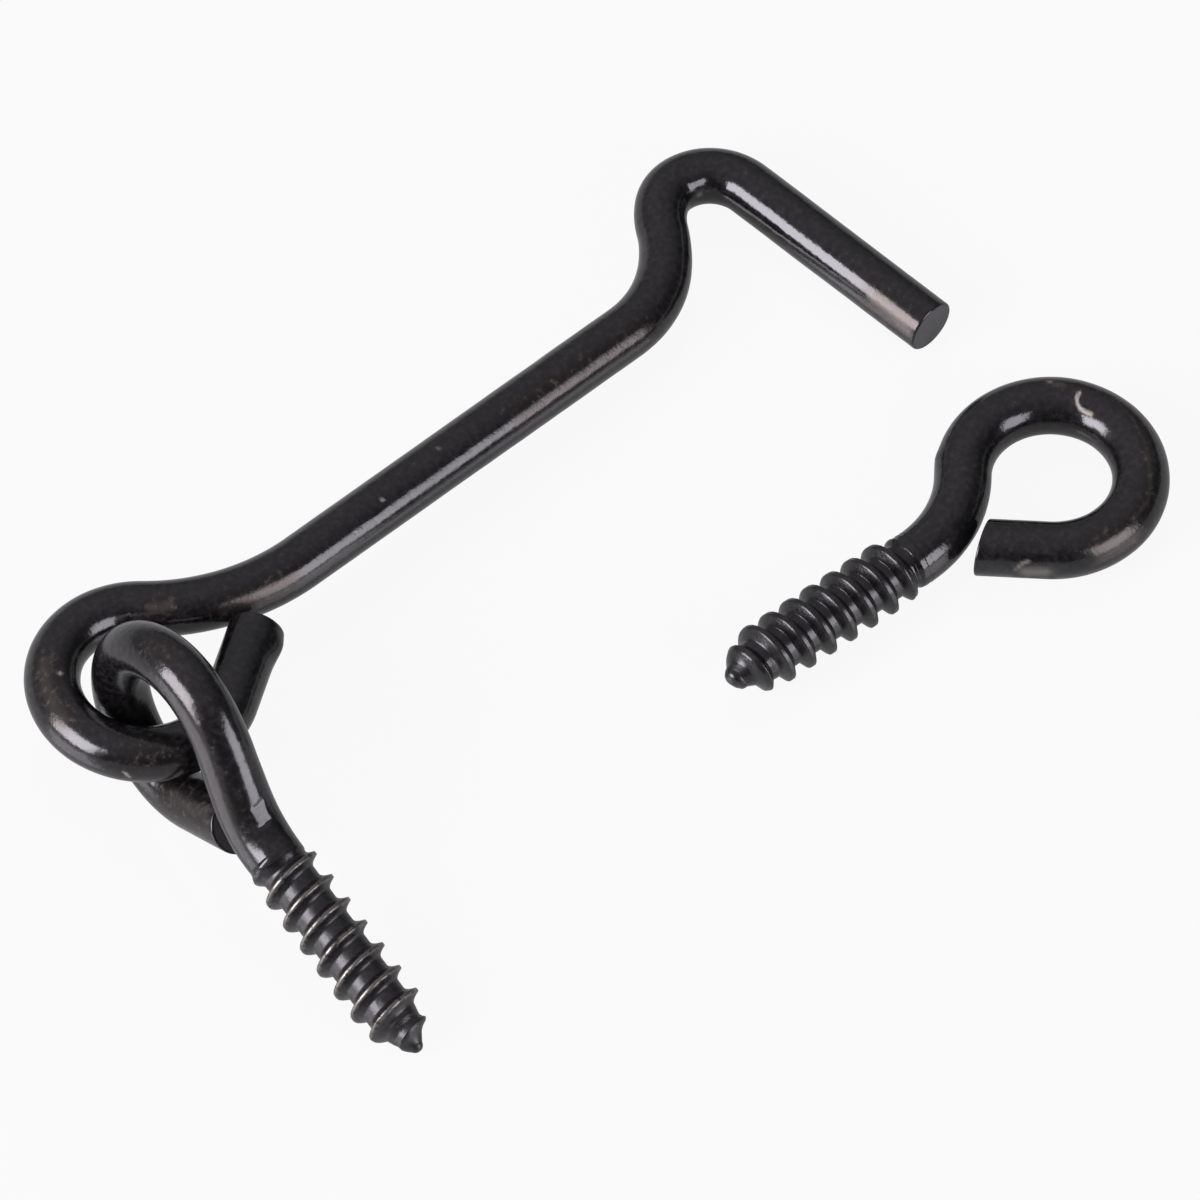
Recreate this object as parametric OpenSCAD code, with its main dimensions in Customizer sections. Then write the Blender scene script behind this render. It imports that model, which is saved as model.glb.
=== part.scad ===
// Hook and eye latch: a bent wire hook linked through a screw eye, and a loose screw eye that takes its prong.
// The three pieces lie on a table, z = 0, and the hook's arm runs along +X with its prong towards -Y.
// Sizes are in millimetres and degrees. Bend radii are those of the wire's centre line.

/* [Hook] */
// Diameter of the hook's wire
hook_wire_d = 4.5; // [3.6:0.1:4.8]
// Inside diameter of the hook's own eye
hook_eye_d = 9.9; // [9.4:0.1:13]
// Angle that the wire is bent round to close that eye
hook_eye_angle = 251.9; // [246:0.1:258]
// Gap between the cut end of that eye and the neck
hook_eye_gap = 0.15; // [0.1:0.05:1]
// Radius of the neck that sets the eye over onto the arm's line
hook_neck_r = 19.6; // [17:0.2:22]
// Angle of the neck
hook_neck_angle = 40.2; // [38:0.2:43]
// Straight run of the arm
arm_l = 35.2; // [30:0.2:90]
// Radius of the swan neck's outward bend
swan_out_r = 10.1; // [8:0.1:13]
// Angle of the outward bend
swan_out_angle = 62.9; // [55:0.1:70]
// Radius of the swan neck's tight return bend
swan_back_r = 4.4; // [4:0.1:7]
// Angle of the return bend
swan_back_angle = 148.4; // [140:0.2:158]
// Straight run of the prong up to its square cut end
prong_l = 19.8; // [12:0.1:24]

/* [Screw eyes] */
// Diameter of the screw eyes' wire
eye_wire_d = 4.6; // [3.6:0.1:4.8]
// Inside diameter of each eye
eye_d = 9.6; // [9.4:0.1:13]
// Angle that the wire is bent round to close each eye
eye_angle = 270.8; // [262:0.2:276]
// Gap between the cut end of the eye and its neck
eye_gap = 0.3; // [0.2:0.05:1.2]
// Radius of the neck between eye and screw
eye_neck_r = 10.6; // [9:0.1:13]
// Angle of the neck
eye_neck_angle = 49.2; // [46:0.2:53]
// Length of the screw from its point to the plain wire
screw_l = 19; // [14:0.5:30]
// Core diameter of the screw, at the root of its thread
screw_core_d = 4; // [3:0.1:4.4]
// Outside diameter of the thread that stands on the core
thread_d = 5.6; // [4.8:0.1:6.4]
// Length of the gimlet point
point_l = 4; // [3:0.25:6]

/* [Layout on the table] */
// Room between the hook's wire and the bottom of the ring it lies in
link_gap = 0.35; // [0.3:0.05:1]
// Distance of the ring's wire from the middle of the hook's eye, along the arm's line
link_back = 1.5; // [0.8:0.1:1.6]
// Distance of the ring's wire beyond the middle of the hook's eye, across the arm's line
link_out = 0.8; // [0:0.1:1]
// Direction of the hinge eye from its point to its ring, from the arm's line
hinge_angle = 84.2; // [70:0.1:100]
// Lean of the hinge eye's ring towards the arm
hinge_lean_angle = 5; // [0:0.5:8]
// Middle of the catch eye's ring along the arm, from the arm's start
catch_x = 51; // [46:0.1:70]
// Middle of the catch eye's ring off the arm's line, towards the prong's end
catch_y = 32.9; // [30:0.1:60]
// Direction of the catch eye from its point to its ring, from the arm's line
catch_angle = -3.8; // [-8:0.1:2]

/* [Hidden] */
$fn = 64;

// Each bend is drawn a hair thinner than the wire, and the straight runs lap over its ends.
bend_thinning = 0.01;
lap = 0.05;
// Short straight between two bends of opposite hand
flat = 0.4;
// Radius of the gimlet's blunt tip, and length of the cone from screw core to wire
tip_r = 0.35;
runout_l = 0.5;

hook_r = hook_wire_d / 2;
eye_r = eye_wire_d / 2;
thread_r = thread_d / 2;
core_r = screw_core_d / 2;
hook_ring_r = (hook_eye_d + hook_wire_d) / 2;
ring_r = (eye_d + eye_wire_d) / 2;

function along(a) = [cos(a), sin(a)];
function left(a) = [-sin(a), cos(a)];

// Run left before a cut end, starting at p in direction a, comes within reach of the circle about c.
function run_to(p, a, c, reach) =
    let (d = p - c, b = d * along(a)) -b - sqrt(b * b - d * d + reach * reach);

// Hook, in the plane of its wire: the arm starts at the origin and runs along +X.
neck_end = hook_neck_r * [-sin(hook_neck_angle), 1 - cos(hook_neck_angle)];
eye_start = neck_end - flat * along(-hook_neck_angle);
hook_ring = eye_start - hook_ring_r * left(-hook_neck_angle);
hook_tail_dir = hook_eye_angle - hook_neck_angle - 180;
hook_tail_start = hook_ring - hook_ring_r * left(hook_tail_dir);
hook_tail_l = run_to(hook_tail_start + hook_r * left(hook_tail_dir), hook_tail_dir,
    [0, hook_neck_r], hook_neck_r + hook_r + hook_eye_gap);
hook_end = hook_tail_start + hook_tail_l * along(hook_tail_dir);
swan_start = [arm_l, 0] + swan_out_r * ([0, 1] - left(swan_out_angle)) + flat * along(swan_out_angle);
swan_middle = swan_start - swan_back_r * left(swan_out_angle);
prong_dir = swan_out_angle - swan_back_angle;
prong_end = swan_middle + swan_back_r * left(prong_dir) + prong_l * along(prong_dir);
hook_far = max(prong_end[0], swan_middle[0] + swan_back_r);

// Screw eye, in the plane of its wire: the point is at the origin and the screw runs along +X.
eye_neck_middle = [screw_l + flat, eye_neck_r];
eye_neck_end = eye_neck_middle - eye_neck_r * left(eye_neck_angle) + flat * along(eye_neck_angle);
eye_ring = eye_neck_end - ring_r * left(eye_neck_angle);
eye_tail_dir = eye_neck_angle - eye_angle;
eye_tail_start = eye_ring + ring_r * left(eye_tail_dir);
eye_tail_l = run_to(eye_tail_start - eye_r * left(eye_tail_dir), eye_tail_dir,
    eye_neck_middle, eye_neck_r + eye_r + eye_gap);

// The hinge eye stands on its ring and on the thread at the base of its point.
hinge_rise = eye_ring[1] * cos(hinge_lean_angle) + thread_r;
hinge_run = eye_ring[0] - point_l;
hinge_tilt = asin((ring_r + eye_r) / norm([hinge_run, hinge_rise])) - atan2(hinge_rise, hinge_run);
hinge_ring = hook_ring + [-link_back, link_out] - ring_r * along(hinge_angle);

// The hook lies in that ring at one end and on its prong at the other.
hook_link_z = eye_wire_d + hook_r + link_gap;
hook_slope = atan2(hook_link_z - hook_r, hook_far - hook_ring[0] + link_back);
hook_z = hook_r + (hook_far - hook_ring[0]) * tan(hook_slope);

// The catch eye lies on its ring and on the last turn of its thread.
catch_slope = atan2(thread_r - eye_r, eye_ring[0] + ring_r - screw_l);
catch_ring = [catch_x, -catch_y];

// The origin is under the middle of the three pieces.
left_x = hook_ring[0] - hook_ring_r - hook_r;
right_x = max(hook_far + hook_r, catch_ring[0] + ring_r + eye_r);
top_y = swan_middle[1] + swan_back_r + hook_r;
point_y = hinge_ring[1] - (eye_ring[0] * cos(hinge_tilt) - eye_ring[1] * sin(hinge_tilt)) * sin(hinge_angle);
low_y = min(point_y, catch_ring[1] - ring_r - eye_r);
middle = [(left_x + right_x) / 2, (low_y + top_y) / 2, 0];

// One bend of round wire, to the left of +X, from the origin.
module bend(radius, turn, r) {
    translate([0, radius, 0])
        rotate(-90)
            rotate_extrude(angle = turn)
                translate([radius, 0])
                    circle(r = r - bend_thinning);
}

// Round wire bent by a list of [straight run, bend radius, bend angle], left bends positive.
module wire(steps, r, i = 0) {
    run = steps[i][0];
    radius = steps[i][1];
    turn = steps[i][2];
    hand = turn < 0 ? -1 : 1;
    before = i == 0 ? 0 : lap;
    after = turn == 0 ? 0 : lap;
    translate([-before, 0, 0])
        rotate([0, 90, 0])
            cylinder(r = r, h = before + run + after);
    if (turn != 0) {
        translate([run, 0, 0])
            mirror([0, turn < 0 ? 1 : 0, 0])
                bend(radius, abs(turn), r);
    }
    if (i + 1 < len(steps)) {
        translate([run, hand * radius, 0])
            rotate(turn)
                translate([0, -hand * radius, 0])
                    wire(steps, r, i + 1);
    }
}

// Core of the screw with its gimlet point, along +X from the origin.
module screw() {
    rotate([0, 90, 0])
        rotate_extrude()
            polygon([
                [0, 0],
                [tip_r, 0],
                [core_r, point_l],
                [core_r, screw_l - runout_l],
                [eye_r, screw_l],
                [0, screw_l]
            ]);
}

// Screw eye in its own plane.
module screw_eye() {
    screw();
    translate([screw_l, 0, 0])
        wire([
            [flat, eye_neck_r, eye_neck_angle],
            [flat, ring_r, -eye_angle],
            [eye_tail_l, 0, 0]
        ], eye_r);
}

// Hook, bent from the cut end of its eye to the cut end of its prong.
module hook() {
    color([0.11, 0.11, 0.12])
        translate([hook_ring[0], hook_ring[1], hook_z] - middle)
            rotate([0, hook_slope, 0])
                translate([-hook_ring[0], -hook_ring[1], 0])
                    translate([hook_end[0], hook_end[1], 0])
                        rotate(hook_tail_dir + 180)
                            wire([
                                [hook_tail_l, hook_ring_r, -hook_eye_angle],
                                [flat, hook_neck_r, hook_neck_angle],
                                [arm_l, swan_out_r, swan_out_angle],
                                [flat, swan_back_r, -swan_back_angle],
                                [prong_l, 0, 0]
                            ], hook_r);
}

// Screw eye that the hook hangs on, standing on the edge of its ring.
module hinge_eye() {
    color([0.13, 0.13, 0.14])
        translate([hinge_ring[0], hinge_ring[1], ring_r + eye_r] - middle)
            rotate([90 + hinge_lean_angle, -hinge_tilt, hinge_angle])
                translate([-eye_ring[0], -eye_ring[1], 0])
                    screw_eye();
}

// Loose screw eye that takes the prong, lying flat.
module catch_eye() {
    color([0.15, 0.15, 0.16])
        translate([catch_ring[0], catch_ring[1], eye_r + ring_r * tan(catch_slope)] - middle)
            rotate([0, catch_slope, catch_angle])
                translate([-eye_ring[0], -eye_ring[1], 0])
                    screw_eye();
}

hook();
hinge_eye();
catch_eye();
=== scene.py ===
"""Hook and eye latch of black wire: the looks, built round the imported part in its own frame."""
import math

import bpy
import numpy as np
from mathutils import Matrix, Vector


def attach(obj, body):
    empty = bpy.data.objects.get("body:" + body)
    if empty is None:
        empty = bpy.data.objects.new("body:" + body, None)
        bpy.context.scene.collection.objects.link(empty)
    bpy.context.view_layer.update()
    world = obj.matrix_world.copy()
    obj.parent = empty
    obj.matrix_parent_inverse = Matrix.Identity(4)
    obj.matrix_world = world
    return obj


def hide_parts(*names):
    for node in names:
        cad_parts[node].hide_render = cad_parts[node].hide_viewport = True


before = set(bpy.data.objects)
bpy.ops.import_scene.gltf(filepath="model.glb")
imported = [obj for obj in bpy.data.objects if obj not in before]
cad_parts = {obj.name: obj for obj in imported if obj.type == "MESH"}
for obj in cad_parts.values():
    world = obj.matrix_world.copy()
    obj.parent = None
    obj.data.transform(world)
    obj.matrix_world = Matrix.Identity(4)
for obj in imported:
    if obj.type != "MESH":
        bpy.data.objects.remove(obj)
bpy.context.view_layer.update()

MM = 0.001

# Sizes in millimetres and degrees, as in the part's source.
hook_wire_d, hook_eye_d, hook_eye_angle, hook_eye_gap = 4.5, 9.9, 251.9, 0.15
hook_neck_r, hook_neck_angle, arm_l = 19.6, 40.2, 35.2
swan_out_r, swan_out_angle, swan_back_r, swan_back_angle, prong_l = 10.1, 62.9, 4.4, 148.4, 19.8
eye_wire_d, eye_d, eye_angle, eye_gap = 4.6, 9.6, 270.8, 0.3
eye_neck_r, eye_neck_angle, screw_l, screw_core_d, thread_d, point_l = 10.6, 49.2, 19.0, 4.0, 5.6, 4.0
link_gap, link_back, link_out = 0.35, 1.5, 0.8
hinge_angle, hinge_lean_angle = 84.2, 5.0
catch_x, catch_y, catch_angle = 51.0, 32.9, -3.8
flat = 0.4

# Sizes that only the looks have: the cut ends, how uneven drawn wire is, and how finely a wire is swept.
cut_edge_r, eye_cut_slant, eye_cut_run = 0.18, 0.26, 3.0
unevenness, unevenness_size = 0.07, 5.0
wire_sides, screw_sides = 72, 80
wire_step, thread_step, step_gap = 0.18, 0.075, 0.1
# A screw is swept in fine steps from just behind its rounded tip to a little past its end.
fine_from, fine_past = 0.32, 1.2
# The swan neck is drawn thinner by its bends, and lies a little off the even bend.
swan_thinning, swan_thin_run = 0.16, 4.0
swan_shift, swan_shift_from, swan_shift_run = (0.20, -0.19, 0), 1.4, 2.5
# The screw's point by distance from its tip: its rounded end, its core and the crest of its thread.
tip_at, tip_round = (0.0, 0.03, 0.08, 0.15, 0.25), (0.30, 0.55, 0.72, 0.85, 0.95)
point_core_at, point_core_r = (0, 0.5, 1.0, 1.6, 2.6, 3.8), (0.46, 0.62, 0.95, 1.33, 1.77)
point_crest_at, point_crest_r = (0, 0.25, 0.6, 1.2, 2.0, 3.0, 4.0), (0.46, 0.56, 0.86, 1.38, 2.05, 2.55)
# Where the core widens to the wire before the screw's end, how far the thread takes to run out, and how far
# past the thread's end the rolled surface goes.
widen_from, widen_to, thread_fade, rolled_past = 0.8, 0.1, 1.5, 1.0
# The faint rings of the run-out: how far before the screw's end their middle is, their reach and spacing, and
# how far and how fast that spacing wavers.
rings_before, rings_reach, rings_spacing = 0.4, 1.8, 0.55
rings_waver, rings_waver_rate = 1.5, 2.0
# Length over which a screw eye's neck is oval, bowed and eased.
neck_run = 4.0

hook_r, eye_r, core_r, thread_r = hook_wire_d / 2, eye_wire_d / 2, screw_core_d / 2, thread_d / 2
hook_ring_r = (hook_eye_d + hook_wire_d) / 2
ring_r = (eye_d + eye_wire_d) / 2


def along(angle):
    return np.array([math.cos(math.radians(angle)), math.sin(math.radians(angle))])


def left(angle):
    return along(angle + 90)


def run_to(point, angle, centre, reach):
    """Length of a straight run from point until it comes within reach of centre."""
    away = point - centre
    back = away @ along(angle)
    return -back - math.sqrt(back * back - away @ away + reach * reach)


def wire_length(bends):
    return sum(run + radius * math.radians(abs(turn)) for run, radius, turn in bends)


def wire_point(bends, start, heading, distance):
    """Point on the middle line of a bent wire, at a distance from its start."""
    point = np.array(start, float)
    for run, radius, turn in bends:
        if distance <= run:
            break
        point = point + run * along(heading)
        distance -= run
        arc = radius * math.radians(abs(turn))
        if arc:
            turned = turn * min(distance / arc, 1)
            point = point + math.copysign(radius, turn) * (left(heading) - left(heading + turned))
            heading += turned
            if distance <= arc:
                return point
            distance -= arc
    return point + distance * along(heading)


# The hook in its own plane: the arm starts at the origin and runs along +X.
neck_end = hook_neck_r * np.array([-math.sin(math.radians(hook_neck_angle)),
                                   1 - math.cos(math.radians(hook_neck_angle))])
hook_ring = neck_end - flat * along(-hook_neck_angle) - hook_ring_r * left(-hook_neck_angle)
hook_tail_dir = hook_eye_angle - hook_neck_angle - 180
hook_tail_start = hook_ring - hook_ring_r * left(hook_tail_dir)
hook_tail_l = run_to(hook_tail_start + hook_r * left(hook_tail_dir), hook_tail_dir,
                     np.array([0, hook_neck_r]), hook_neck_r + hook_r + hook_eye_gap)
hook_end = hook_tail_start + hook_tail_l * along(hook_tail_dir)
swan_start = (np.array([arm_l, 0]) + swan_out_r * (np.array([0, 1]) - left(swan_out_angle))
              + flat * along(swan_out_angle))
swan_middle = swan_start - swan_back_r * left(swan_out_angle)
prong_dir = swan_out_angle - swan_back_angle
prong_end = swan_middle + swan_back_r * left(prong_dir) + prong_l * along(prong_dir)
hook_far = max(prong_end[0], swan_middle[0] + swan_back_r)
hook_bends = [(hook_tail_l, hook_ring_r, -hook_eye_angle), (flat, hook_neck_r, hook_neck_angle),
              (arm_l, swan_out_r, swan_out_angle), (flat, swan_back_r, -swan_back_angle), (prong_l, 0, 0)]

# A screw eye in its own plane: the point is at the origin and the screw runs along +X.
eye_neck_middle = np.array([screw_l + flat, eye_neck_r])
eye_neck_end = eye_neck_middle - eye_neck_r * left(eye_neck_angle) + flat * along(eye_neck_angle)
eye_ring = eye_neck_end - ring_r * left(eye_neck_angle)
eye_tail_dir = eye_neck_angle - eye_angle
eye_tail_start = eye_ring + ring_r * left(eye_tail_dir)
eye_tail_l = run_to(eye_tail_start - eye_r * left(eye_tail_dir), eye_tail_dir,
                    eye_neck_middle, eye_neck_r + eye_r + eye_gap)
eye_bends = [(screw_l + flat, eye_neck_r, eye_neck_angle), (flat, ring_r, -eye_angle), (eye_tail_l, 0, 0)]

# Places of the three pieces on the table, z = 0, with the whole centred on the origin.
hinge_rise = eye_ring[1] * math.cos(math.radians(hinge_lean_angle)) + thread_r
hinge_run = eye_ring[0] - point_l
hinge_tilt = math.degrees(math.asin((ring_r + eye_r) / math.hypot(hinge_run, hinge_rise))
                          - math.atan2(hinge_rise, hinge_run))
hinge_ring = hook_ring + np.array([-link_back, link_out]) - ring_r * along(hinge_angle)
hook_link_z = eye_wire_d + hook_r + link_gap
hook_slope = math.degrees(math.atan2(hook_link_z - hook_r, hook_far - hook_ring[0] + link_back))
hook_z = hook_r + (hook_far - hook_ring[0]) * math.tan(math.radians(hook_slope))
catch_slope = math.degrees(math.atan2(thread_r - eye_r, eye_ring[0] + ring_r - screw_l))
catch_ring = np.array([catch_x, -catch_y])
left_x = hook_ring[0] - hook_ring_r - hook_r
right_x = max(hook_far + hook_r, catch_ring[0] + ring_r + eye_r)
top_y = swan_middle[1] + swan_back_r + hook_r
hinge_reach = eye_ring @ along(-hinge_tilt)
point_y = hinge_ring[1] - hinge_reach * math.sin(math.radians(hinge_angle))
low_y = min(point_y, catch_ring[1] - ring_r - eye_r)
middle = Vector(((left_x + right_x) / 2, (low_y + top_y) / 2, 0))


def laid(ring, at, turns):
    """Matrix that turns a piece about its ring's centre and sets that centre at a place, in millimetres."""
    turned = Matrix.Identity(4)
    for axis, angle in zip("XYZ", turns):
        turned = Matrix.Rotation(math.radians(angle), 4, axis) @ turned
    return Matrix.Translation(Vector(at) - middle) @ turned @ Matrix.Translation(-Vector((*ring, 0)))


hook_place = laid(hook_ring, (*hook_ring, hook_z), (0, hook_slope, 0))
hinge_place = laid(eye_ring, (*hinge_ring, ring_r + eye_r), (90 + hinge_lean_angle, -hinge_tilt, hinge_angle))
catch_place = laid(eye_ring, (*catch_ring, eye_r + ring_r * math.tan(math.radians(catch_slope))),
                   (0, catch_slope, catch_angle))


def node(tree, kind, inputs=None, **settings):
    """Adds a node with its settings, and fills or links its inputs."""
    made = tree.nodes.new(kind)
    for name, value in settings.items():
        setattr(made, name, value)
    for name, value in (inputs or {}).items():
        if isinstance(value, bpy.types.NodeSocket):
            tree.links.new(value, made.inputs[name])
        else:
            made.inputs[name].default_value = value
    return made


def colour(hex_code):
    """Linear colour of an sRGB hex value."""
    parts = [int(hex_code[i:i + 2], 16) / 255 for i in (1, 3, 5)]
    return (*[p / 12.92 if p <= 0.04045 else ((p + 0.055) / 1.055) ** 2.4 for p in parts], 1)


def new_material(name):
    made = bpy.data.materials.new(name)
    made.use_nodes = True
    made.node_tree.nodes.clear()
    return made, made.node_tree


# Steel wire, drawn and bent cold, then dipped in thin black lacquer: near black and glossy, with a slow drift
# towards brown, a fine grain that mottles its highlights, clusters of brown-grey specks where the lacquer is
# rubbed through, and a thin broken line of bare steel along the crest of a rolled thread. Real grain is finer
# than the specks here, which are drawn coarse enough to show.
drift_size, speck_size, peel_size = 7 * MM, 0.5 * MM, 0.9 * MM
lacquer, tree = new_material("black_lacquer_on_drawn_steel_wire")
place = node(tree, "ShaderNodeTexCoord").outputs["Object"]
wear = node(tree, "ShaderNodeAttribute", attribute_name="wear").outputs["Fac"]
crest = node(tree, "ShaderNodeAttribute", attribute_name="crest").outputs["Fac"]
chip_and_painted_light = node(tree, "ShaderNodeAttribute", attribute_name="chip_and_painted_light").outputs["Fac"]
rolled = node(tree, "ShaderNodeAttribute", attribute_name="rolled").outputs["Fac"]
drift = node(tree, "ShaderNodeTexNoise",
             {"Vector": place, "Scale": 1 / drift_size, "Detail": 3.0}).outputs["Fac"]
specks = node(tree, "ShaderNodeTexNoise",
              {"Vector": place, "Scale": 1 / speck_size, "Detail": 3.0, "Roughness": 0.55}).outputs["Fac"]
peel = node(tree, "ShaderNodeTexNoise",
            {"Vector": place, "Scale": 1 / peel_size, "Detail": 2.0}).outputs["Fac"]

# The lacquer's black, with its grain.
tone = node(tree, "ShaderNodeMix", {0: drift, 6: colour("#080809"), 7: colour("#121011")},
            data_type="RGBA").outputs[2]
grain = node(tree, "ShaderNodeMapRange", {"Value": specks, "From Min": 0.42, "From Max": 0.72}).outputs[0]
tone = node(tree, "ShaderNodeMix", {0: grain, 6: tone, 7: colour("#242223")}, data_type="RGBA").outputs[2]

# Worn places: thin lacquer, specks worn bare, chips down to bright metal, and the keen crest of the thread.
worn = node(tree, "ShaderNodeMath", {0: wear, 1: 0.26, 2: specks}, operation="MULTIPLY_ADD").outputs[0]
edge = node(tree, "ShaderNodeMapRange", {"Value": crest, "From Min": 0.6, "To Max": 0.16}).outputs[0]
worn = node(tree, "ShaderNodeMath", {0: worn, 1: edge}, operation="ADD").outputs[0]
bare = node(tree, "ShaderNodeMapRange", {"Value": worn, "From Min": 0.68, "From Max": 1.0}).outputs[0]
through = node(tree, "ShaderNodeMapRange", {"Value": wear, "From Min": 0.55, "To Max": 0.6}).outputs[0]
bare = node(tree, "ShaderNodeMath", {0: bare, 1: through}, operation="MAXIMUM").outputs[0]
rust = node(tree, "ShaderNodeMix", {0: peel, 6: colour("#2a2825"), 7: colour("#68635a")},
            data_type="RGBA").outputs[2]
thin = node(tree, "ShaderNodeMath", {0: wear, 1: 0.5}, operation="MULTIPLY").outputs[0]
tone = node(tree, "ShaderNodeMix", {0: thin, 6: tone, 7: colour("#242221")}, data_type="RGBA").outputs[2]
tone = node(tree, "ShaderNodeMix", {0: bare, 6: tone, 7: rust}, data_type="RGBA").outputs[2]
# Bright metal of chips, also used as a painted highlight and a painted reflection at two places.
tone = node(tree, "ShaderNodeMix", {0: chip_and_painted_light, 6: tone, 7: colour("#c4beb4")}, data_type="RGBA").outputs[2]
keen = node(tree, "ShaderNodeMath", {0: crest, 1: specks, 2: -0.36}, operation="MULTIPLY_ADD").outputs[0]
keen = node(tree, "ShaderNodeMapRange", {"Value": keen, "From Max": 0.12, "To Max": 0.9}).outputs[0]
tone = node(tree, "ShaderNodeMix", {0: keen, 6: tone, 7: colour("#7d7a75")}, data_type="RGBA").outputs[2]

# Its gloss, and the relief of its grain, peel and worn places.
rough = node(tree, "ShaderNodeMapRange",
             {"Value": drift, "From Min": 0.3, "From Max": 0.7, "To Min": 0.13, "To Max": 0.20}).outputs[0]
rough = node(tree, "ShaderNodeMix", {0: thin, 2: rough, 3: 0.31}).outputs[0]
rough = node(tree, "ShaderNodeMix", {0: rolled, 2: rough, 3: 0.37}).outputs[0]
rough = node(tree, "ShaderNodeMix", {0: bare, 2: rough, 3: 0.34}).outputs[0]
rough = node(tree, "ShaderNodeMix", {0: keen, 2: rough, 3: 0.36}).outputs[0]
lift = node(tree, "ShaderNodeMath", {0: bare, 1: -1.2, 2: peel}, operation="MULTIPLY_ADD").outputs[0]
scale = node(tree, "ShaderNodeMath", {0: rolled, 1: 2.0, 2: 1.6}, operation="MULTIPLY_ADD").outputs[0]
lift = node(tree, "ShaderNodeMath", {0: specks, 1: scale, 2: lift}, operation="MULTIPLY_ADD").outputs[0]
bump = node(tree, "ShaderNodeBump", {"Strength": 0.6, "Distance": 0.02 * MM, "Height": lift}).outputs[0]
tint = node(tree, "ShaderNodeMix", {0: wear, 6: colour("#ffffff"), 7: colour("#e6d6ca")},
            data_type="RGBA").outputs[2]
skin = node(tree, "ShaderNodeBsdfPrincipled",
            {"Base Color": tone, "Metallic": keen, "Roughness": rough, "IOR": 1.6, "Specular Tint": tint,
             "Normal": bump})
node(tree, "ShaderNodeOutputMaterial", {"Surface": skin.outputs[0]})

# Wire end cut in a shear and dipped with the rest: flat, duller and greyer, with a fine torn grain.
torn_size = 0.5 * MM
cut_end, tree = new_material("black_lacquer_on_sheared_steel_end")
place = node(tree, "ShaderNodeTexCoord").outputs["Object"]
torn = node(tree, "ShaderNodeTexNoise",
            {"Vector": place, "Scale": 1 / torn_size, "Detail": 5.0}).outputs["Fac"]
tone = node(tree, "ShaderNodeMix", {0: torn, 6: colour("#313032"), 7: colour("#525154")},
            data_type="RGBA").outputs[2]
bump = node(tree, "ShaderNodeBump", {"Strength": 0.4, "Distance": 0.04 * MM, "Height": torn}).outputs[0]
skin = node(tree, "ShaderNodeBsdfPrincipled", {"Base Color": tone, "Roughness": 0.38, "Normal": bump})
node(tree, "ShaderNodeOutputMaterial", {"Surface": skin.outputs[0]})


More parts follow.
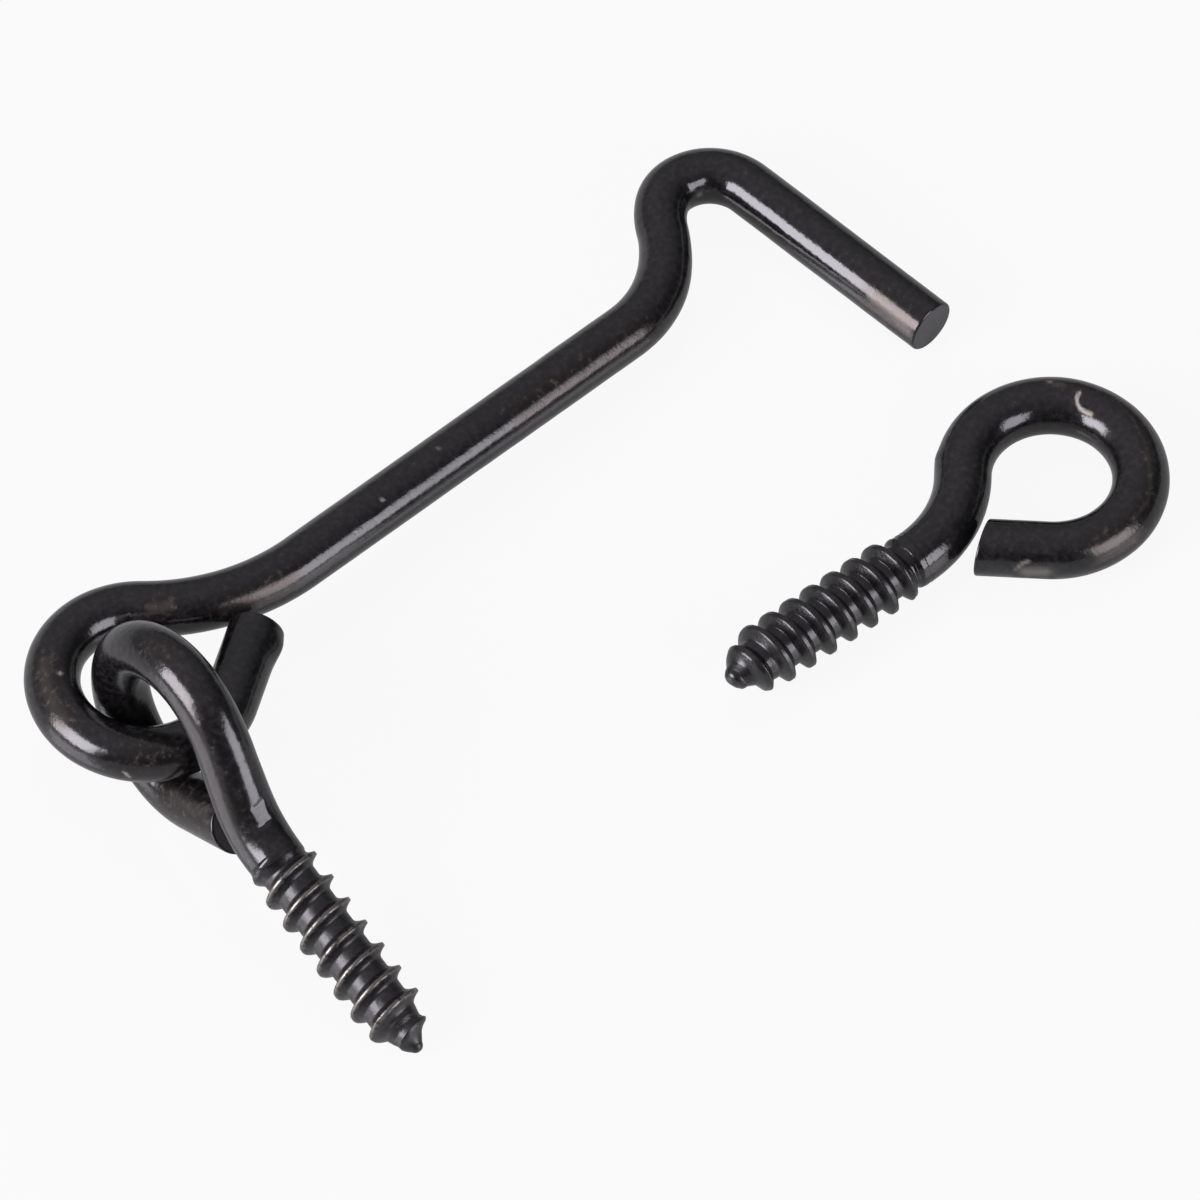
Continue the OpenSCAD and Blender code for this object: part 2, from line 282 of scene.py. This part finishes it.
def bent_wire_tree():
    """Geometry Nodes tree that sweeps a wire along its middle line and rolls a thread on its screw."""
    tree = bpy.data.node_groups.new("bent_wire_with_rolled_thread", "GeometryNodeTree")
    sockets = {"Middle line": "Geometry", "Sides": "Int", "Pitch": "Float", "Thread start": "Float",
               "Crest width": "Float", "Foot width": "Float", "Flank hollow": "Float",
               "Unevenness": "Float", "Unevenness size": "Float",
               "Face of the bends": "Vector", "Cut heading": "Vector", "Cut side": "Vector",
               "Wire finish": "Material", "End finish": "Material"}
    for name, kind in sockets.items():
        tree.interface.new_socket(name, in_out="INPUT", socket_type="NodeSocket" + kind)
    tree.interface.new_socket("Wire", in_out="OUTPUT", socket_type="NodeSocketGeometry")
    given = node(tree, "NodeGroupInput").outputs
    spline = node(tree, "GeometryNodeSplineParameter").outputs
    here = node(tree, "GeometryNodeInputPosition").outputs[0]

    line = node(tree, "GeometryNodeMeshToCurve", {0: given["Middle line"]}).outputs[0]
    line = node(tree, "GeometryNodeStoreNamedAttribute", {0: line, "Name": "run", "Value": spline["Length"]},
                domain="POINT").outputs[0]
    line = node(tree, "GeometryNodeStoreNamedAttribute", domain="POINT", data_type="FLOAT_VECTOR",
                inputs={0: line, "Name": "middle", "Value": here}).outputs[0]
    circle = node(tree, "GeometryNodeCurvePrimitiveCircle",
                  {"Resolution": given["Sides"], "Radius": MM}).outputs[0]
    circle = node(tree, "GeometryNodeStoreNamedAttribute",
                  {0: circle, "Name": "turn", "Value": spline["Factor"]}, domain="POINT").outputs[0]
    wire = node(tree, "GeometryNodeCurveToMesh",
                {0: line, 1: circle, "Scale": 1.0, "Fill Caps": True}).outputs[0]
    kinds = {"run": "FLOAT", "turn": "FLOAT", "root": "FLOAT", "ridge": "FLOAT", "oval": "FLOAT",
             "slant": "FLOAT", "keen": "FLOAT", "middle": "FLOAT_VECTOR"}
    read = {name: node(tree, "GeometryNodeInputNamedAttribute", {0: name}, data_type=kind).outputs[0]
            for name, kind in kinds.items()}

    # A right-hand thread: the ridge climbs one pitch in each turn, and falls away on both sides of its crest.
    turns = node(tree, "ShaderNodeMath", {0: read["run"], 1: given["Pitch"]}, operation="DIVIDE").outputs[0]
    turns = node(tree, "ShaderNodeMath", {0: turns, 1: read["turn"]}, operation="SUBTRACT").outputs[0]
    turns = node(tree, "ShaderNodeMath", {0: turns, 1: given["Thread start"]}, operation="ADD").outputs[0]
    share = node(tree, "ShaderNodeMath", {0: turns}, operation="FRACT").outputs[0]
    aside = node(tree, "ShaderNodeMath", {0: share, 1: 0.5}, operation="SUBTRACT").outputs[0]
    aside = node(tree, "ShaderNodeMath", {0: aside}, operation="ABSOLUTE").outputs[0]
    rise = node(tree, "ShaderNodeMapRange",
                {0: aside, 1: given["Crest width"], 2: given["Foot width"], 3: 1.0, 4: 0.0}).outputs[0]
    rise = node(tree, "ShaderNodeMath", {0: rise, 1: given["Flank hollow"]}, operation="POWER").outputs[0]
    radius = node(tree, "ShaderNodeMath", {0: read["ridge"], 1: rise, 2: read["root"]},
                  operation="MULTIPLY_ADD").outputs[0]
    bumps = node(tree, "ShaderNodeTexNoise",
                 {"Vector": here, "Scale": given["Unevenness size"], "Detail": 2.0}).outputs[0]
    bumps = node(tree, "ShaderNodeMath", {0: bumps, 1: 0.5}, operation="SUBTRACT").outputs[0]
    radius = node(tree, "ShaderNodeMath", {0: bumps, 1: given["Unevenness"], 2: radius},
                  operation="MULTIPLY_ADD").outputs[0]
    out = node(tree, "ShaderNodeVectorMath", {0: here, 1: read["middle"]}, operation="SUBTRACT").outputs[0]
    out = node(tree, "ShaderNodeVectorMath", {0: out}, operation="NORMALIZE").outputs[0]
    reach = node(tree, "ShaderNodeVectorMath", {0: out, "Scale": radius}, operation="SCALE").outputs[0]

    # Where the bending tool gripped it the wire is a little oval, and its cut end may be on the slant.
    face = given["Face of the bends"]
    proud = node(tree, "ShaderNodeVectorMath", {0: reach, 1: face}, operation="DOT_PRODUCT").outputs["Value"]
    proud = node(tree, "ShaderNodeMath", {0: proud, 1: read["oval"]}, operation="MULTIPLY").outputs[0]
    proud = node(tree, "ShaderNodeVectorMath", {0: face, "Scale": proud}, operation="SCALE").outputs[0]
    across = node(tree, "ShaderNodeVectorMath", {0: reach, 1: given["Cut side"]},
                  operation="DOT_PRODUCT").outputs["Value"]
    across = node(tree, "ShaderNodeMath", {0: across, 1: read["root"]}, operation="ADD").outputs[0]
    across = node(tree, "ShaderNodeMath", {0: across, 1: read["slant"]}, operation="MULTIPLY").outputs[0]
    longer = node(tree, "ShaderNodeVectorMath", {0: given["Cut heading"], "Scale": across},
                  operation="SCALE").outputs[0]
    surface = read["middle"]
    for part in (reach, proud, longer):
        surface = node(tree, "ShaderNodeVectorMath", {0: surface, 1: part}, operation="ADD").outputs[0]

    crest = node(tree, "ShaderNodeMath", {0: read["keen"], 1: rise}, operation="MULTIPLY").outputs[0]
    wire = node(tree, "GeometryNodeStoreNamedAttribute", {0: wire, "Name": "crest", "Value": crest},
                domain="POINT").outputs[0]
    wire = node(tree, "GeometryNodeSetPosition", {0: wire, "Position": surface}).outputs[0]
    # The side of the wire is all quads, so a face with more corners is one of its flat ends.
    corners = node(tree, "GeometryNodeInputMeshFaceNeighbors").outputs[0]
    is_end = node(tree, "FunctionNodeCompare", {"A": corners, "B": 4},
                  data_type="INT", operation="GREATER_THAN").outputs[0]
    wire = node(tree, "GeometryNodeSetShadeSmooth", {0: wire, "Shade Smooth": True}).outputs[0]
    wire = node(tree, "GeometryNodeSetShadeSmooth",
                {0: wire, "Selection": is_end, "Shade Smooth": False}).outputs[0]
    wire = node(tree, "GeometryNodeRealizeInstances", {0: wire}).outputs[0]
    wire = node(tree, "GeometryNodeSetMaterial", {0: wire, "Material": given["Wire finish"]}).outputs[0]
    wire = node(tree, "GeometryNodeSetMaterial",
                {0: wire, "Selection": is_end, "Material": given["End finish"]}).outputs[0]
    node(tree, "NodeGroupOutput", {0: wire})
    return tree


wire_tree = bent_wire_tree()


def cut_stations(length, radius, side):
    """Distances from a cut end, and the wire's radius there, over the small round of the cut edge."""
    steps = np.radians(np.linspace(0, 90, 6))
    away = cut_edge_r * (1 - np.sin(steps))[::-1]
    wide = radius - cut_edge_r * (1 - np.cos(steps))[::-1]
    return (away, wide) if side < 0 else (length - away[::-1], wide[::-1])


def make_wire(name, bends, start, heading, place, stations, sides, pitch=1.0, thread_start=0.0,
              thread_form=(0.04, 0.34, 2.0)):
    """A wire swept along its bends.

    Stations give its radius, thread, oval, slant and how far it strays from even bends, by distance. The
    thread's form is its crest and foot as shares of the pitch, and how hollow its flanks are."""
    evenly = np.array([wire_point(bends, start, heading, d) for d in stations["distance"]])
    laid_out = np.c_[evenly, np.zeros(len(evenly))] + stations["stray"]
    points = [place @ Vector(point) * MM for point in laid_out]
    line = bpy.data.meshes.new(name + "_line")
    line.from_pydata(points, [(i, i + 1) for i in range(len(points) - 1)], [])
    for kind, unit in (("root", MM), ("ridge", MM), ("oval", 1), ("slant", 1), ("keen", 1), ("rolled", 1)):
        values = np.broadcast_to(stations.get(kind, 0.0), len(points)) * unit
        line.attributes.new(kind, "FLOAT", "POINT").data.foreach_set("value", values.astype(np.float32))
    drawn = bpy.data.objects.new(name + "_line", line)
    bpy.context.scene.collection.objects.link(drawn)
    modifier = drawn.modifiers.new("sweep", "NODES")
    modifier.node_group = wire_tree
    turned = place.to_3x3()
    end_heading = heading + sum(turn for _, _, turn in bends)
    sizes = {"Sides": sides, "Pitch": pitch * MM, "Thread start": thread_start,
             "Crest width": thread_form[0], "Foot width": thread_form[1], "Flank hollow": thread_form[2],
             "Unevenness": unevenness * MM, "Unevenness size": 1 / (unevenness_size * MM),
             "Face of the bends": turned @ Vector((0, 0, 1)),
             "Cut heading": turned @ Vector((*along(end_heading), 0)),
             "Cut side": turned @ Vector((*left(end_heading), 0)),
             "Wire finish": lacquer, "End finish": cut_end}
    for item in wire_tree.interface.items_tree:
        if item.in_out == "INPUT" and item.name in sizes:
            modifier[item.identifier] = sizes[item.name]
    depsgraph = bpy.context.evaluated_depsgraph_get()
    mesh = bpy.data.meshes.new_from_object(drawn.evaluated_get(depsgraph))
    drawn.modifiers.clear()
    bpy.data.objects.remove(drawn)
    mesh.name = name
    made = bpy.data.objects.new(name, mesh)
    bpy.context.scene.collection.objects.link(made)
    return made


def make_screw_eye(name, place, blunt, pitch, thread_start, thread_end, thread_form, rough, rings, oval, bow,
                   ease, short):
    """A screw eye from its point to its cut end.

    Blunt is how much shorter its point is than a sharp one. The thread is whole up to thread_end, is rolled
    that rough, and runs out in rings of that height. Oval and bow are those of the neck, ease is how far its
    two bends are eased, and short is how far the cut end falls short of the even one."""
    length = wire_length(eye_bends) - short
    tip = blunt + np.array(tip_at)
    threaded = np.arange(blunt + fine_from, screw_l + fine_past, thread_step)
    plain = np.arange(screw_l + fine_past + step_gap, length - cut_edge_r - step_gap, wire_step)
    cut, wide = cut_stations(length, eye_r, 1)
    distances = np.concatenate([tip, threaded, plain, cut])
    root = np.interp(distances, [*point_core_at, screw_l - widen_from, screw_l - widen_to],
                     [*point_core_r, core_r, core_r, eye_r])
    crest = np.interp(distances, [*point_crest_at, thread_end, thread_end + thread_fade],
                      [*point_crest_r, thread_r, thread_r, eye_r])
    for profile in (root, crest):
        profile[:len(tip)] *= tip_round
    runout = np.clip(1 - abs(distances - screw_l + rings_before) / rings_reach, 0, 1)
    waver = rings_waver * np.sin(rings_waver_rate * distances)
    root += rings * runout * np.cos(2 * math.pi * distances / rings_spacing + waver)
    root[-len(wide):] = wide
    neck_l = eye_neck_r * math.radians(eye_neck_angle)
    neck = np.exp(-((distances - screw_l - neck_l / 2) / neck_run) ** 2)
    ridge = np.maximum(crest - root, 0) * (distances < thread_end + thread_fade)
    between_bends = screw_l + flat + neck_l + flat / 2
    past = (distances - between_bends) / neck_run
    stray = (np.outer(-ease * past * np.exp(-past ** 2), [*left(eye_neck_angle), 0])
             + np.outer(neck, [0, 0, bow]))
    stations = {"distance": distances, "root": root, "ridge": ridge, "oval": oval * neck, "stray": stray,
                "slant": eye_cut_slant * np.clip((distances - length + eye_cut_run) / eye_cut_run, 0, 1),
                "keen": rough * np.clip(ridge / (thread_r - core_r), 0, 1),
                "rolled": rough * np.clip((thread_end + rolled_past - distances) / thread_fade, 0, 1)}
    return make_wire(name, eye_bends, (0, 0), 0, place, stations, screw_sides, pitch, thread_start,
                     thread_form)


hook_length = wire_length(hook_bends)
start_cut, start_wide = cut_stations(hook_length, hook_r, -1)
end_cut, end_wide = cut_stations(hook_length, hook_r, 1)
between = np.arange(cut_edge_r + step_gap, hook_length - cut_edge_r - step_gap, wire_step)
swan_at = wire_length(hook_bends[:3])
drawn_thin = swan_thinning * np.exp(-((between - swan_at) / swan_thin_run) ** 2)
hook_distances = np.concatenate([start_cut, between, end_cut])
swan_share = np.exp(-((hook_distances - swan_at - swan_shift_from) / swan_shift_run) ** 2)
hook_stray = np.outer(swan_share, swan_shift)
hook_stations = {"distance": hook_distances, "stray": hook_stray,
                 "root": np.concatenate([start_wide, hook_r - drawn_thin, end_wide])}
hook = make_wire("hook", hook_bends, hook_end, hook_tail_dir + 180, hook_place, hook_stations, wire_sides)
hinge_eye = make_screw_eye("hinge_eye", hinge_place, blunt=0.0, pitch=2.30, thread_start=0.635,
                           thread_end=18.2, thread_form=(0.06, 0.34, 2.0), rough=1.0, rings=0.0,
                           oval=0.06, bow=-0.12, ease=0.7, short=0.0)
catch_eye = make_screw_eye("catch_eye", catch_place, blunt=0.28, pitch=2.11, thread_start=0.343,
                           thread_end=17.2, thread_form=(0.10, 0.34, 1.0), rough=0.5, rings=0.022,
                           oval=0.03, bow=0.0, ease=0.0, short=0.42)


def points_of(piece):
    """Places of a mesh's points, in millimetres."""
    places = np.empty(len(piece.data.vertices) * 3, np.float32)
    piece.data.vertices.foreach_get("co", places)
    return places.reshape(-1, 3) / MM


def move_points(piece, places):
    piece.data.vertices.foreach_set("co", (places * MM).astype(np.float32).ravel())
    piece.data.update()


def press_flat(piece, at, facing, heading, depth, long, reach=2.0):
    """Presses a flat of that depth and half-length into the side of a wire that runs along heading.

    Only the points within reach of its middle are pressed."""
    places = points_of(piece)
    facing = np.array(facing) / np.linalg.norm(facing)
    near = (abs((places - at) @ heading) < long) & (np.linalg.norm(places - at, axis=1) < reach)
    height = places[near] @ facing
    places[near] -= np.maximum(height - height.max() + depth, 0)[:, None] * facing
    move_points(piece, places)


def raise_burr(piece, at, facing, width, height):
    """Raises a small round burr on the wire."""
    places = points_of(piece)
    facing = np.array(facing) / np.linalg.norm(facing)
    lift = height * np.exp(-((np.linalg.norm(places - at, axis=1) / width) ** 2))
    move_points(piece, places + lift[:, None] * facing)


def write_marks(piece, name, marks):
    """Writes how far each point is marked: by a mark's strength on its line, fading to 0 at its width."""
    places = points_of(piece)
    share = np.zeros(len(places))
    for line, width, strength in marks:
        for start, end in zip(line, line[1:] or line):
            start, run = np.array(start), np.array(end) - np.array(start)
            part = np.clip((places - start) @ run / max(run @ run, 1e-9), 0, 1)
            away = np.linalg.norm(places - start - part[:, None] * run, axis=1)
            near = np.clip(1 - away / width, 0, 1)
            share = np.maximum(share, strength * near * near * (3 - 2 * near))
    piece.data.attributes.new(name, "FLOAT", "POINT").data.foreach_set("value", share.astype(np.float32))


# Marks of the bending tools, in millimetres in the part's frame: flats and burrs.
press_flat(hinge_eye, (-37.4, -2.05, 10.2), (0, -0.68, 0.735), (0.05, 0.735, 0.68), depth=0.14, long=0.95)
press_flat(catch_eye, (26.95, -22.9, 2.5), (-0.69, -0.72, 0.01), (0.72, -0.69, 0), depth=0.20, long=1.6)
raise_burr(catch_eye, (28.7, -9.8, 3.2), (-0.73, 0.68, 0.1), width=0.7, height=0.10)
raise_burr(hook, (-24.0, 10.6, 7.0), (0.73, -0.68, 0), width=1.2, height=0.35)
raise_burr(hook, (32.5, 22.5, 4.3), (-0.16, -0.59, 0.79), width=0.6, height=0.10)

# Where the lacquer is rubbed: each line of places, its width and how far it is worn.
rubs = {
    hook: [([(-39.8, 20.8, 9.6), (-41.6, 18.6, 9.6), (-42.4, 15.6, 9.5)], 1.9, 0.75),
           ([(-40.5, 9.4, 9.0), (-38.4, 8.0, 8.8)], 2.2, 0.6),
           ([(-29.8, 19.3, 8.7), (-28.4, 18.4, 8.6)], 1.5, 0.8),
           ([(-25.1, 15.7, 7.6), (-19.5, 14.4, 7.5)], 2.0, 0.75),
           ([(5.9, 14.7, 6.3), (18.9, 14.0, 4.9)], 2.2, 0.55),
           ([(35.2, 4.6, 3.5), (35.4, 1.0, 3.3)], 2.4, 0.8)],
    hinge_eye: [([(-36.9, 11.9, 18.0), (-36.4, 9.9, 18.6)], 1.5, 0.6),
                ([(-37.6, 7.7, 18.0), (-38.2, 5.7, 16.9), (-38.6, 3.5, 15.0)], 2.2, 0.25),
                ([(-38.6, 3.5, 15.0), (-38.8, 1.3, 12.5), (-39.0, -1.6, 9.6)], 2.2, 0.25),
                ([(-38.8, 7.2, 4.6), (-38.9, 4.9, 5.4), (-38.9, 3.0, 6.5)], 2.4, 0.7),
                ([(-39.5, 7.5, 2.9), (-39.6, 4.5, 4.0), (-39.6, 2.4, 4.0)], 2.4, 0.5)],
    catch_eye: [([(31.7, -25.4, 4.1), (35.3, -26.2, 3.2)], 2.4, 0.7),
                ([(42.3, -15.5, 4.4), (41.9, -18.5, 4.5), (40.9, -21.0, 4.5)], 0.6, 0.7),
                ([(40.9, -21.0, 4.5), (39.3, -23.1, 4.5), (37.6, -24.7, 4.3), (35.4, -25.3, 4.3)], 0.7, 0.75),
                ([(39.5, -11.0, 4.5), (40.1, -12.1, 4.6)], 1.0, 0.9)]}
# Where it is chipped or scraped to bright metal, in the same way, and two faint lines of painted light.
chips_and_painted_light = {
    hook: [([(-39.7, 19.0, 9.7)], 0.3, 1.0),
           ([(-8.6, 15.1, 7.5)], 0.25, 0.8),
           ([(-1.8, 15.9, 7.2)], 0.25, 0.3),
           ([(-12.2, 14.4, 7.3)], 0.25, 0.3),
           # Partly a scrape, partly a painted highlight laid along the prong end's highlight.
           ([(35.1, 5.2, 3.6), (35.3, 2.8, 3.4), (35.4, 0.9, 3.3)], 0.6, 0.2),
           ([(-41.6, 9.4, 7.9), (-41.4, 9.1, 7.4)], 0.22, 0.5)],
    hinge_eye: [([(-38.1, 4.5, 16.6)], 0.25, 0.5)],
    catch_eye: [([(40.6, -13.5, 4.6), (40.1, -13.7, 4.6), (39.8, -14.1, 4.4), (39.7, -14.5, 4.3)], 0.20, 1.0),
                ([(39.7, -14.5, 4.3), (39.8, -15.0, 4.2), (40.0, -15.5, 4.2)], 0.26, 1.0),
                ([(25.9, -21.8, 2.8), (26.1, -21.9, 3.2), (26.4, -22.0, 3.6), (26.8, -22.3, 3.8)], 0.24, 0.3),
                # Painted reflection: a light wash over the pressed flat.
                ([(26.5, -22.4, 2.5), (27.5, -23.4, 2.5)], 1.0, 0.2),
                ([(39.6, -11.1, 4.5)], 0.3, 0.5)]}

for piece, name in ((hook, "hook"), (hinge_eye, "hinge_eye"), (catch_eye, "catch_eye")):
    write_marks(piece, "wear", rubs[piece])
    write_marks(piece, "chip_and_painted_light", chips_and_painted_light[piece])
    piece.name = name + "_wire"
    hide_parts(name)
    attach(piece, name)

# The photograph's view: from above at the front left, on a very long lens.
view_azimuth, view_height = math.radians(-42.775), math.radians(55.367)
view_distance, view_width = 4.0, 95.52 * MM
view_target = Vector((1.026, 0.028, 0)) * MM
sensor_width = 36
back = Vector((math.sin(view_azimuth) * math.cos(view_height),
               -math.cos(view_azimuth) * math.cos(view_height), math.sin(view_height)))
camera_data = bpy.data.cameras.new("camera")
camera_data.sensor_width = sensor_width
camera_data.lens = sensor_width * view_distance / view_width
camera_data.clip_start, camera_data.clip_end = 0.1, 20
camera = bpy.data.objects.new("camera", camera_data)
bpy.context.scene.collection.objects.link(camera)
camera.location = view_target + back * view_distance
camera.rotation_euler = (-back).to_track_quat("-Z", "Y").to_euler()
bpy.context.scene.camera = camera

# The photograph's light is a touch violet.
studio_light = colour("#fbf6ff")


def softbox(name, azimuth, height, distance, width, tall, power):
    """A soft light round the photograph's view: azimuth from the camera's side, positive to its right."""
    turn, lift = view_azimuth + math.radians(azimuth), math.radians(height)
    towards = Vector((math.sin(turn) * math.cos(lift), -math.cos(turn) * math.cos(lift), math.sin(lift)))
    lamp = bpy.data.lights.new(name, "AREA")
    lamp.shape, lamp.size, lamp.size_y, lamp.energy = "RECTANGLE", width, tall, power
    lamp.color = studio_light[:3]
    placed = bpy.data.objects.new(name, lamp)
    bpy.context.scene.collection.objects.link(placed)
    placed.location = towards * distance
    placed.rotation_euler = (-towards).to_track_quat("-Z", "Y").to_euler()
    placed.visible_camera = False


softbox("softbox_left", azimuth=-61, height=26, distance=0.5, width=0.32, tall=0.32, power=3.4)
softbox("softbox_right", azimuth=59, height=20, distance=0.5, width=0.30, tall=0.28, power=1.4)

# A table of polished white acrylic sheet with a turned-up edge. Seen directly it is nearly plain white, in a
# reflection less so, and what is left takes the shadow and gives soft mirror images at a low angle. An IOR
# above acrylic's own strengthens them.
white_seen, white_mirrored = 0.92, 0.3
table_finish, tree = new_material("polished_white_acrylic")
paths = node(tree, "ShaderNodeLightPath").outputs
mirrored = node(tree, "ShaderNodeMath", {0: paths["Is Glossy Ray"], 1: paths["Is Transmission Ray"]},
                operation="ADD").outputs[0]
mirrored = node(tree, "ShaderNodeMath", {0: mirrored, 1: white_mirrored}, operation="MULTIPLY").outputs[0]
seen = node(tree, "ShaderNodeMath", {0: paths["Is Camera Ray"], 1: white_seen, 2: mirrored},
            operation="MULTIPLY_ADD", use_clamp=True).outputs[0]
sheet = node(tree, "ShaderNodeBsdfPrincipled",
             {"Base Color": colour("#b8b8b8"), "Roughness": 0.18, "IOR": 2.5}).outputs[0]
glow = node(tree, "ShaderNodeEmission", {"Color": (1, 1, 1, 1), "Strength": 1.0}).outputs[0]
polished = node(tree, "ShaderNodeMixShader", {0: seen, 1: sheet, 2: glow}).outputs[0]
node(tree, "ShaderNodeOutputMaterial", {"Surface": polished})
table_half, edge_rise = 3.0, 0.3
corners = [(x * table_half, y * table_half) for x, y in ((-1, -1), (1, -1), (1, 1), (-1, 1))]
table_mesh = bpy.data.meshes.new("table")
table_mesh.from_pydata([(x, y, z) for z in (0, edge_rise) for x, y in corners], [],
                       [(0, 1, 2, 3)] + [((i + 1) % 4, i, i + 4, (i + 1) % 4 + 4) for i in range(4)])
table_mesh.materials.append(table_finish)
table = bpy.data.objects.new("table", table_mesh)
bpy.context.scene.collection.objects.link(table)

# A dim room: palest overhead and away to the left, and darkest low down at the right.
darkest, brightest = 0.07, 0.47
world = bpy.data.worlds.new("studio")
world.use_nodes = True
tree = world.node_tree
tree.nodes.clear()
towards = node(tree, "ShaderNodeTexCoord").outputs["Generated"]
to_left = Vector((-math.cos(view_azimuth), -math.sin(view_azimuth), 0))
away = Vector((-math.sin(view_azimuth), math.cos(view_azimuth), 0))
palest = (to_left * 0.3 + away * 0.3 + Vector((0, 0, 0.9))).normalized()
facing = node(tree, "ShaderNodeVectorMath", {0: towards, 1: palest}, operation="DOT_PRODUCT").outputs["Value"]
strength = node(tree, "ShaderNodeMapRange",
                {"Value": facing, "From Min": 0.2, "To Min": darkest, "To Max": brightest}).outputs[0]
sky = node(tree, "ShaderNodeBackground", {"Color": studio_light, "Strength": strength}).outputs[0]
node(tree, "ShaderNodeOutputWorld", {"Surface": sky})
bpy.context.scene.world = world

bpy.context.scene.view_settings.view_transform = "Standard"
